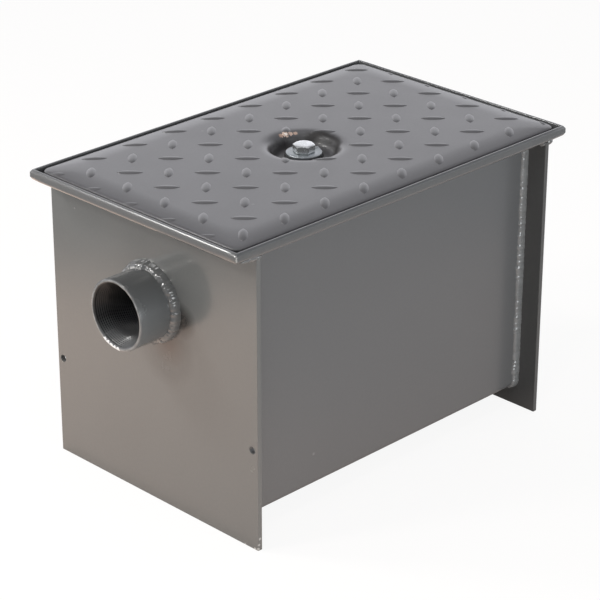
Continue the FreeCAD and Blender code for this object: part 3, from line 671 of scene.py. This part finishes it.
def lug_mesh():
    """One raised lug: a lens with a rounded back, its lower side hidden in the plate."""
    length, width, height = LUG
    across = (-1.12, -1.0, -0.9, -0.74, -0.5, -0.25, 0.0, 0.25, 0.5, 0.74, 0.9, 1.0, 1.12)
    along = 20
    points = []
    for step in range(along + 1):
        u = -math.cos(math.pi * step / along)
        half = width / 2 * max(1 - abs(u) ** 2.9, 0.0) + 0.12
        crest = height * (max(1 - abs(u) ** 2.4, 0.0) ** 0.7)
        for v in across:
            z = crest * (1 - abs(v) ** 2.3) if abs(v) <= 1 else -0.5
            points.append((length / 2 * u, half * v, z))
    columns = len(across)
    faces = []
    for row in range(along):
        for column in range(columns - 1):
            first = row * columns + column
            faces.append((first, first + 1, first + columns + 1, first + columns))
    faces += end_faces(along + 1, columns)
    for row in range(along):
        start, after = row * columns, (row + 1) * columns
        faces.append((start, after, after + columns - 1, start + columns - 1))
    return points, faces


def tread_tree(lug):
    """Geometry nodes that lay the lugs over the plate: two square grids, half a pitch apart."""
    tree = bpy.data.node_groups.new("tread_lugs", "GeometryNodeTree")
    face = tree.interface
    face.new_socket("Geometry", in_out="INPUT", socket_type="NodeSocketGeometry")
    for label, value in (("Pitch", LUG_PITCH * MM), ("Shift X", LUG_SHIFT[0] * MM),
                         ("Shift Y", LUG_SHIFT[1] * MM), ("Half Length", COVER_HALF[0] * MM),
                         ("Half Width", COVER_HALF[1] * MM), ("Dish Radius", 0.030)):
        socket = face.new_socket(label, in_out="INPUT", socket_type="NodeSocketFloat")
        socket.default_value = value
    face.new_socket("Paint", in_out="INPUT", socket_type="NodeSocketMaterial")
    face.new_socket("Geometry", in_out="OUTPUT", socket_type="NodeSocketGeometry")
    start = tree.nodes.new("NodeGroupInput").outputs
    end = tree.nodes.new("NodeGroupOutput")
    plate, pitch = start["Geometry"], start["Pitch"]
    half_x, half_y = start["Half Length"], start["Half Width"]

    def made(kind, *links, **values):
        return add(tree, kind, links, **values).outputs[0]

    def sums(operation, *terms):
        return maths(tree, operation, *terms)

    here = made("GeometryNodeInputPosition")
    here_x, here_y, here_z = parts(tree, here)

    # Lugs well outside the plate or in the dish are dropped
    past_x = sums("GREATER_THAN", sums("ABSOLUTE", here_x), sums("ADD", half_x, 0.004))
    past_y = sums("GREATER_THAN", sums("ABSOLUTE", here_y), sums("ADD", half_y, 0.004))
    in_dish = sums("LESS_THAN", vector_maths(tree, "LENGTH", here), start["Dish Radius"])
    gone = sums("MAXIMUM", sums("MAXIMUM", past_x, past_y), in_dish)
    source = add(tree, "GeometryNodeObjectInfo", Object=lug).outputs["Geometry"]
    joined = tree.nodes.new("GeometryNodeJoinGeometry")
    for turn, half in ((-45.0, 0.0), (45.0, 0.5)):
        grid = made("GeometryNodeMeshGrid", (sums("MULTIPLY", pitch, 10.0), "Size X"),
                    (sums("MULTIPLY", pitch, 8.0), "Size Y"), Vertices_X=11, Vertices_Y=9)
        step = sums("MULTIPLY", pitch, half)
        offset = made("ShaderNodeCombineXYZ", (sums("ADD", start["Shift X"], step), "X"),
                      (sums("ADD", start["Shift Y"], step), "Y"))
        moved = made("GeometryNodeSetPosition", (grid, "Geometry"), (offset, "Offset"))
        kept = made("GeometryNodeDeleteGeometry", (moved, "Geometry"), (gone, "Selection"))
        placed = made("GeometryNodeInstanceOnPoints", (kept, "Points"), (source, "Instance"),
                      Rotation=(0, 0, math.radians(turn)))
        tree.links.new(placed, joined.inputs[0])
    lugs = made("GeometryNodeRealizeInstances", (joined.outputs[0], "Geometry"))

    # They are cut off at the plate's edge
    span_x, span_y = [sums("SUBTRACT", sums("MULTIPLY", side, 2.0), 0.0012)
                      for side in (half_x, half_y)]
    span = made("ShaderNodeCombineXYZ", (span_x, "X"), (span_y, "Y"), Z=0.1)
    block = made("GeometryNodeMeshCube", (span, "Size"))
    cut = made("GeometryNodeMeshBoolean", (block, "Mesh 2"), (lugs, "Mesh 2"),
               operation="INTERSECT")

    # They are draped over the plate, and fade towards its edge
    def clamped(coordinate, side):
        limit = sums("SUBTRACT", side, 0.0003)
        return sums("MAXIMUM", sums("MINIMUM", coordinate, limit),
                    sums("MULTIPLY", limit, -1.0))

    x, y = clamped(here_x, half_x), clamped(here_y, half_y)
    origin = made("ShaderNodeCombineXYZ", (x, "X"), (y, "Y"), Z=0.4)
    ray = add(tree, "GeometryNodeRaycast", [(plate, "Target Geometry"),
              (origin, "Source Position")], Ray_Direction=(0, 0, -1), Ray_Length=1.0).outputs
    inset_x, inset_y = [sums("SUBTRACT", side, sums("ABSOLUTE", coordinate))
                        for side, coordinate in ((half_x, x), (half_y, y))]
    fade = made("ShaderNodeClamp",
                (sums("DIVIDE", sums("MINIMUM", inset_x, inset_y), 0.004), "Value"))
    height = sums("ADD", parts(tree, ray["Hit Position"])[2], sums("MULTIPLY", here_z, fade))
    final = made("ShaderNodeCombineXYZ", (x, "X"), (y, "Y"), (height, "Z"))
    draped = made("GeometryNodeSetPosition", (cut, "Geometry"), (final, "Position"),
                  (ray["Is Hit"], "Selection"))
    both = made("GeometryNodeJoinGeometry", (draped, 0), (plate, 0))
    painted = made("GeometryNodeSetMaterial", (both, "Geometry"), (start["Paint"], "Material"))
    tree.links.new(painted, end.inputs[0])
    return tree


def make_cover():
    plate = link_object("tread_cover", closed_mesh("tread_cover", *make_cover_plate()))
    lug = link_object("lug_form", closed_mesh("lug_form", *lug_mesh()))
    for helper in (plate, lug):
        helper.data.shade_smooth()
    tree = tread_tree(lug)
    modifier = plate.modifiers.new("lugs", "NODES")
    modifier.node_group = tree
    for item in tree.interface.items_tree:
        if item.name == "Paint":
            modifier[item.identifier] = cover_paint
    finish_mesh(applied(plate), cover_paint, 45.0)
    bpy.data.objects.remove(lug)
    place_piece(plate, "cover", ("cover",))


# Couplings, threaded inside

def make_coupling(name, side):
    """A turned coupling. Rows run round its axis, from the inner end out, in and back."""
    rows = [(PIPE_END_X, PIPE_BORE + 0.6), (PIPE_END_X, PIPE_RADIUS - 0.5),
            (PIPE_END_X + 0.5, PIPE_RADIUS), (END_INNER, PIPE_RADIUS)]
    rows += [(END_FACE + along, PIPE_RADIUS) for along in (8, 16, 24, 34)]
    rows += [(MOUTH_X - along, PIPE_RADIUS - inset) for along, inset in (
        (1.7, 0), (1.1, 0.15), (0.6, 0.5), (0.2, 1.0), (0, 1.5))]
    rows += [(MOUTH_X - 0.1, MOUTH + 0.9), (MOUTH_X - 0.6, MOUTH + 0.15),
             (MOUTH_X - 1.3, MOUTH - 0.4)]
    plain = len(rows)
    first = MOUTH_X - 1.6
    last = PIPE_END_X + 0.8
    steps = int((first - last) / PIPE_THREAD * 5)
    for step in range(steps + 1):
        x = first - (first - last) * step / steps
        deep = min(1.0, (first - x) / 14.0)
        rows.append((x, MOUTH - 0.7 - (MOUTH - 0.7 - PIPE_BORE) * deep))
    around = 96
    points = []
    for row, (x, radius) in enumerate(rows):
        for index, angle in enumerate(turns(around)):
            reach = radius
            place = x
            if row >= plain:
                phase = (x / PIPE_THREAD + index / around * side) % 1.0
                fade = min(1.0, (first - x) / 2.0, (x - last) / 2.0)
                reach += 0.95 * fade * (1 - abs(2 * phase - 1)) - 0.1
            elif x > END_FACE + 1 and radius > 33:
                reach -= 0.08 + 0.08 * unit_noise(math.cos(angle) * 1.5,
                                                  math.sin(angle) * 1.5, x * 0.1)
            if x > MOUTH_X - 1.0 and row < plain:
                nick = unit_noise(math.cos(angle) * 5, math.sin(angle) * 5, side + 3.0)
                place -= 0.25 + 0.35 * nick + 0.25 * max(nick - 0.3, 0.0)
            points.append((side * min(place, MOUTH_X), reach * math.cos(angle),
                           PIPE_HEIGHT + reach * math.sin(angle)))
    mesh = closed_mesh(name + "_threaded", points, sweep_faces(len(rows), around))
    add_piece(mesh, pipe_paint, "tank", (name,), 28.0)


# Weld beads

def bead_points(path, leg, seed, ripple, closed=False, lumps=1.0, extra=None):
    """A fillet weld laid along a path of (corner, first side, second side) with lengths in mm.

    The bead fills the corner between two faces. Its back is a run of overlapping ripples.
    """
    across = 8
    points = []
    travelled = 0.0
    total = sum((after[0] - before[0]).length for before, after in zip(path, path[1:]))
    before = path[0][0]
    for corner, side_a, side_b in path:
        travelled += (corner - before).length
        before = corner
        wave = (travelled / ripple) % 1.0
        swell = 0.84 + lumps * 0.16 * unit_noise(travelled * 0.09, seed) + 0.06 * (1 - wave)
        swell += lumps * 0.12 * unit_noise(travelled * 0.31, seed + 9)
        if extra:
            swell += extra(travelled / total)
        if not closed:
            end = min(travelled, total - travelled)
            swell *= 0.35 + 0.65 * min(1.0, max(end, 0.0) / 3.0) ** 0.5
        reach = leg * swell
        points.append(corner - 0.4 * side_a - 0.4 * side_b)
        for step in range(across + 1):
            share = step / across
            bulge = 0.30 * reach * math.sin(math.pi * share) * (1 + 0.18 * (1 - wave))
            point = corner + side_a * (reach * (1 - share) + bulge * 0.7)
            point = point + side_b * (reach * share + bulge * 0.7)
            if step == 0:
                point = point - side_b * 0.35
            if step == across:
                point = point - side_a * 0.35
            points.append(point)
    return points, across + 2


def make_bead(name, path, leg, seed, ripple, lumps, paint, closed=False, extra=None):
    points, count = bead_points(path, leg, seed, ripple, closed, lumps, extra)
    faces = sweep_faces(len(path), count, close_rings=closed)
    if not closed:
        faces += end_faces(len(path), count)
    mesh = closed_mesh(name + "_bead", points, faces)
    add_piece(mesh, paint, "tank", (name,), 60.0)


def make_coupling_weld(name, side):
    path = []
    for angle in turns(420):
        out = Vector((0, math.cos(angle), math.sin(angle)))
        corner = Vector((side * END_FACE, 0, PIPE_HEIGHT)) + out * PIPE_RADIUS
        path.append((corner, out, Vector((side, 0, 0)) * 1.8))

    def start_lump(share):
        """Where the bead begins and ends it's laid twice, and flatter."""
        away = (share - 0.17 + 0.5) % 1.0 - 0.5
        return 0.24 * math.exp(-(away / 0.06) ** 2)

    make_bead(name, path, leg=5.6, seed=3.0 + side, ripple=12.0, lumps=1.1, paint=weld_paint,
              closed=True, extra=start_lump)


def make_seam_weld(name, side):
    """Down one wall, round the bend, under the floor and up the other wall."""
    inward = Vector((-side, 0, 0)) * 1.9
    path = []

    def put(y, z, out):
        path.append((Vector((side * END_INNER, y, z)), Vector(out) * 0.65, inward))

    def put_bend(centre_y, begin):
        for step in range(16):
            turn = begin + math.pi / 2 * step / 16
            out = (0, math.cos(turn), math.sin(turn))
            put(centre_y + TANK_BEND * out[1], low + TANK_BEND * out[2], out)

    steps = 330
    top = RIM_UNDERSIDE - 0.6
    low = TANK_UNDERSIDE + TANK_BEND
    flat = WALL_OUTER - TANK_BEND
    for step in range(steps):
        put(-WALL_OUTER, top + (low - top) * step / steps, (0, -1, 0))
    put_bend(-flat, math.pi)
    for step in range(260):
        put(-flat + 2 * flat * step / 260, TANK_UNDERSIDE, (0, 0, -1))
    put_bend(flat, 1.5 * math.pi)
    for step in range(steps + 1):
        put(WALL_OUTER, low + (top - low) * step / steps, (0, 1, 0))
    make_bead(name, path, leg=4.7, seed=11.0 + side, ripple=3.4, lumps=1.3, paint=seam_paint)


def make_corner_welds():
    """Four beads under the rim, in the corners behind the wings of the end plates."""
    points = []
    faces = []
    for side in (-1, 1):
        for hand in (-1, 1):
            path = []
            for step in range(41):
                y = hand * (WING - 0.5 - 16.5 * step / 40)
                path.append((Vector((side * END_INNER, y, RIM_UNDERSIDE)),
                             Vector((0, 0, -1)), Vector((-side, 0, 0))))
            bead, count = bead_points(path, leg=4.8, seed=30 + side + 3 * hand, ripple=2.6)
            for face in sweep_faces(len(path), count, False) + end_faces(len(path), count):
                faces.append(tuple(len(points) + index for index in face))
            points += bead
    mesh = closed_mesh("rim_corner_beads", points, faces)
    add_piece(mesh, weld_paint, "tank", ("rim_corner_welds",), 60.0)


def make_rim_tacks():
    """Short lumpy tacks that hold the rim's corners to the end plates."""
    work = bmesh.new()
    for index, (centre, radii) in enumerate((
            ((-200.0, -136.9, 293.0), (6.5, 2.7, 3.0)),
            ((-208.5, -137.2, 293.2), (6.0, 2.3, 2.0)),
            ((-194.0, -136.6, 291.4), (3.4, 2.8, 3.4)),
            ((199.5, -136.9, 292.6), (4.4, 2.7, 3.2)),
            ((-198.5, 136.9, 292.8), (5.0, 2.7, 2.6)),
            ((198.5, 136.9, 292.8), (5.0, 2.7, 2.6)))):
        ball = bmesh.ops.create_icosphere(work, subdivisions=3, radius=1.0)
        for vert in ball["verts"]:
            way = vert.co.copy()
            swell = 1 + 0.22 * unit_noise(way.x * 1.6 + index * 5, way.y * 1.6, way.z * 1.6)
            vert.co = Vector([c + r * w * swell for c, r, w in zip(centre, radii, way)]) * MM
    add_piece(written(work, "rim_tacks"), weld_paint, "tank", (), 80.0)


# Bolt and washers

def make_bolt():
    """Hex head with its corners turned off, and a threaded shank."""
    top = HEAD_SEAT + HEAD_HEIGHT
    chamfer_start = HEAD_FLATS / 2 - 0.25

    def hexagon(turn):
        local = (turn - math.radians(HEAD_TURN)) % (math.pi / 3) - math.pi / 6
        sharp = HEAD_FLATS / 2 / math.cos(local)
        return min(sharp, HEAD_FLATS / 2 / math.cos(math.pi / 6) - 0.25)

    def chamfer_height(turn):
        return top - 0.25 - (hexagon(turn) - chamfer_start) * math.tan(math.radians(20))

    def thread(height, depth, taper):
        def radius(turn):
            phase = (height / BOLT_THREAD + turn / (2 * math.pi)) % 1.0
            return (SHANK - depth * 1.05 * (1 - abs(2 * phase - 1))) * taper
        return radius

    rows = [(3.9, BOLT_TIP), (4.9, BOLT_TIP + 0.1)]
    steps = 170
    for step in range(steps + 1):
        height = BOLT_TIP + 0.6 + (HEAD_SEAT - 3.2 - BOLT_TIP - 0.6) * step / steps
        depth = min(1.0, (HEAD_SEAT - 3.2 - height) / 2.5)
        taper = min(1.0, 0.78 + (height - BOLT_TIP) / 8.0)
        rows.append((thread(height, depth, taper), height))
    rows += [(SHANK, HEAD_SEAT - 2.6), (SHANK, HEAD_SEAT - 0.5), (6.7, HEAD_SEAT),
             (8.9, HEAD_SEAT), (9.1, HEAD_SEAT + 0.35),
             (lambda turn: hexagon(turn) - 0.35, HEAD_SEAT + 0.38), (hexagon, HEAD_SEAT + 0.8),
             (hexagon, lambda turn: chamfer_height(turn) - 0.15),
             (lambda turn: hexagon(turn) - 0.15, chamfer_height), (chamfer_start, top - 0.25),
             (chamfer_start - 0.5, top - 0.05), (chamfer_start - 1.2, top), (3.0, top)]
    around = 72
    points = []
    for radius, height in rows:
        for turn in turns(around):
            reach = radius(turn) if callable(radius) else radius
            level = height(turn) if callable(height) else height
            points.append((reach * math.cos(turn), reach * math.sin(turn), level))
    faces = sweep_faces(len(rows), around, close_rings=False) + end_faces(len(rows), around)
    add_piece(closed_mesh("hex_bolt", points, faces), zinc, "bolt",
              ("hold_down_bolt",), 32.0)


def make_washer(name, node, low, high, inner, outer, r, material, wobble=0.0, burr=None):
    """A flat ring with broken edges. A burr is a place where its rim is turned up."""
    around = 96
    section = [(inner, low + r), (inner, high - r), (inner + 0.3 * r, high - 0.3 * r),
               (inner + r, high), (outer - r, high), (outer - 0.3 * r, high - 0.3 * r),
               (outer, high - r), (outer, low + r), (outer - 0.3 * r, low + 0.3 * r),
               (outer - r, low), (inner + r, low), (inner + 0.3 * r, low + 0.3 * r)]
    points = []
    for radius, height in section:
        for turn in turns(around):
            reach = radius
            lift = 0.0
            if wobble and radius > (inner + outer) / 2:
                uneven = unit_noise(math.cos(turn) * 2, math.sin(turn) * 2, 5)
                reach -= wobble * (0.5 + 0.5 * uneven)
            if burr is not None and radius > 0.75 * outer:
                away = (turn - burr + math.pi) % (2 * math.pi) - math.pi
                lift = 1.3 * math.exp(-(away / 0.13) ** 2) * (radius / outer - 0.75) * 4
            points.append((reach * math.cos(turn), reach * math.sin(turn), height + lift))
    mesh = closed_mesh(name, points, sweep_faces(len(section), around))
    add_piece(mesh, material, "washers", (node,), 50.0)


make_rim()
make_cover()
for where, side in (("inlet", -1), ("outlet", 1)):
    make_coupling("coupling_" + where, side)
    make_coupling_weld("coupling_weld_" + where, side)
    make_seam_weld("seam_weld_" + where, side)
    softened("end_plate_" + where, plate_paint if side < 0 else shaded_outlet_paint,
             width=0.55)
make_corner_welds()
make_rim_tacks()
softened("tank_body", body_paint, width=0.4)
softened("cover_gasket", rubber, width=0.4)
make_bolt()
make_washer("zinc_washer", "flat_washer", WASHER_SEAT, HEAD_SEAT, BOLT_HOLE, 17.45, 0.45,
            dull_zinc, burr=math.radians(-6))
make_washer("rubber_washer", "sealing_washer", DISH_FLOOR, WASHER_SEAT, 6.7, 19.0, 0.8,
            rubber, wobble=0.5)
for name in ("hold_down_bar", "hold_down_nut", "baffle_inlet", "baffle_outlet",
             "baffle_guide_inlet_left", "baffle_guide_inlet_right",
             "baffle_guide_outlet_left", "baffle_guide_outlet_right"):
    set_paint(nodes[name].data, body_paint)


# Floor, light and camera

def mix_shaders(tree, share, first, second, end):
    """End a tree in a mix of two shaders."""
    tree.links.new(add(tree, "ShaderNodeMixShader", [(share, 0), (first.outputs[0], 1),
                   (second.outputs[0], 2)]).outputs[0], end.inputs["Surface"])


def floor_material():
    """White to the camera. Reflections see a painted warm pool of light that is weaker on the
    trap's right as painted shadow, painted shadow under the trap, and a dim floor far off.
    """
    material = bpy.data.materials.new("pale_floor")
    material.use_nodes = True
    tree = material.node_tree
    tree.nodes.clear()
    end = tree.nodes.new("ShaderNodeOutputMaterial")
    ray = tree.nodes.new("ShaderNodeLightPath").outputs
    place = tree.nodes.new("ShaderNodeTexCoord").outputs["Object"]
    seen = maths(tree, "MAXIMUM", ray["Is Camera Ray"], ray["Is Glossy Ray"])
    seen = maths(tree, "MAXIMUM", seen, ray["Is Transmission Ray"])
    # A painted warm pool of light round the trap, seen in reflections, weaker on its right as
    # painted shadow.
    pool = ramp(tree, vector_maths(tree, "LENGTH", place), 0.80, 0.55, shape="SMOOTHSTEP")
    side = vector_maths(tree, "DOT_PRODUCT", place, (-0.707, 0.707, 0.0))
    pool = product(tree, pool, ramp(tree, side, -0.3, 0.5, 0.22, 1.0))
    tone = mix_colour(tree, pool, (0.34, 0.35, 0.37, 1), (1.45, 1.10, 0.90, 1))
    # Painted shadow under the trap, seen in reflections.
    x, y, _ = parts(tree, vector_maths(tree, "ABSOLUTE", place))
    beside = maths(tree, "MAXIMUM", maths(tree, "SUBTRACT", x, 0.195),
                   maths(tree, "SUBTRACT", y, 0.125))
    tone = mix_colour(tree, ramp(tree, beside, 0.02, -0.03), tone, (0.05, 0.047, 0.045, 1))
    tone = mix_colour(tree, ray["Is Camera Ray"], tone, (1.05, 1.05, 1.05, 1))
    matt = add(tree, "ShaderNodeBsdfDiffuse", Color=(0.92, 0.86, 0.80, 1))
    glow = add(tree, "ShaderNodeEmission", [(tone, "Color")], Strength=1.0)
    mix_shaders(tree, product(tree, seen, 0.86), matt, glow, end)
    return material


def make_floor():
    reach = 30.0
    mesh = bpy.data.meshes.new("floor")
    mesh.from_pydata([(-reach, -reach, 0), (reach, -reach, 0), (reach, reach, 0),
                      (-reach, reach, 0)], [], [(0, 1, 2, 3)])
    mesh.materials.append(floor_material())
    link_object("floor", mesh)


def make_world():
    """White to the camera, and for the trap a bright back wall under a dim ceiling."""
    world = bpy.data.worlds.new("studio")
    bpy.context.scene.world = world
    world.use_nodes = True
    tree = world.node_tree
    tree.nodes.clear()
    end = tree.nodes.new("ShaderNodeOutputWorld")
    ray = tree.nodes.new("ShaderNodeLightPath").outputs
    way = tree.nodes.new("ShaderNodeTexCoord").outputs["Generated"]
    rise = ramp(tree, parts(tree, way)[2], 0.28, 0.75, shape="SMOOTHSTEP")
    back = ramp(tree, vector_maths(tree, "DOT_PRODUCT", way, (0.707, 0.707, 0.0)), -0.55, 0.55)
    low = mix_colour(tree, back, (0.26, 0.26, 0.28, 1), (1.18, 1.18, 1.24, 1))
    tone = mix_colour(tree, rise, low, (0.20, 0.20, 0.225, 1))
    lit = add(tree, "ShaderNodeBackground", [(tone, "Color")], Strength=1.0)
    white = add(tree, "ShaderNodeBackground", Color=(1, 1, 1, 1), Strength=1.0)
    mix_shaders(tree, ray["Is Camera Ray"], lit, white, end)


def area_light(name, place, target, width, height, power, colour):
    lamp = bpy.data.lights.new(name, "AREA")
    lamp.shape = "RECTANGLE"
    lamp.size = width
    lamp.size_y = height
    lamp.energy = power
    lamp.color = colour
    holder = link_object(name, lamp)
    holder.location = place
    holder.visible_camera = False
    direction = Vector(target) - Vector(place)
    holder.rotation_euler = direction.to_track_quat("-Z", "Y").to_euler()


def make_camera():
    """The photograph's viewpoint, worked out from the rim's corners and the lugs."""
    data = bpy.data.cameras.new("camera")
    data.lens = 142.993
    data.sensor_width = 36.0
    data.clip_end = 100.0
    camera = link_object("camera", data)
    camera.location = (-1.49967, -1.49471, 1.12453)
    camera.rotation_euler = tuple(math.radians(a) for a in (65.12818, -0.06417, -44.96898))
    bpy.context.scene.camera = camera


make_floor()
make_world()
area_light("overhead", (0.2, 0.2, 2.2), (0, 0, 0.25), 1.8, 1.8, 3.0, (1.0, 0.99, 0.97))
area_light("spark", (-0.75, -0.55, 1.9), (-0.2, 0, 0.2), 0.16, 0.16, 3.0, (1.0, 1.0, 1.0))
area_light("left_key", (-1.5, 0.5, 1.4), (-0.1, 0, 0.2), 0.3, 0.3, 9.0, (1.0, 0.97, 0.93))
area_light("back_key", (-0.95, 1.1, 1.5), (-0.1, 0, 0.25), 0.4, 0.4, 11.0, (1.0, 0.99, 0.97))
area_light("left_low", (-2.0, 1.3, 0.3), (-0.2, 0, 0.1), 1.8, 0.6, 12.0, (1.0, 0.97, 0.93))
area_light("front_low", (-0.15, -2.4, 0.6), (0.0, -0.1, 0.1), 1.6, 0.9, 25.0, (0.95, 0.99, 1.0))
make_camera()
bpy.context.scene.view_settings.view_transform = "Standard"
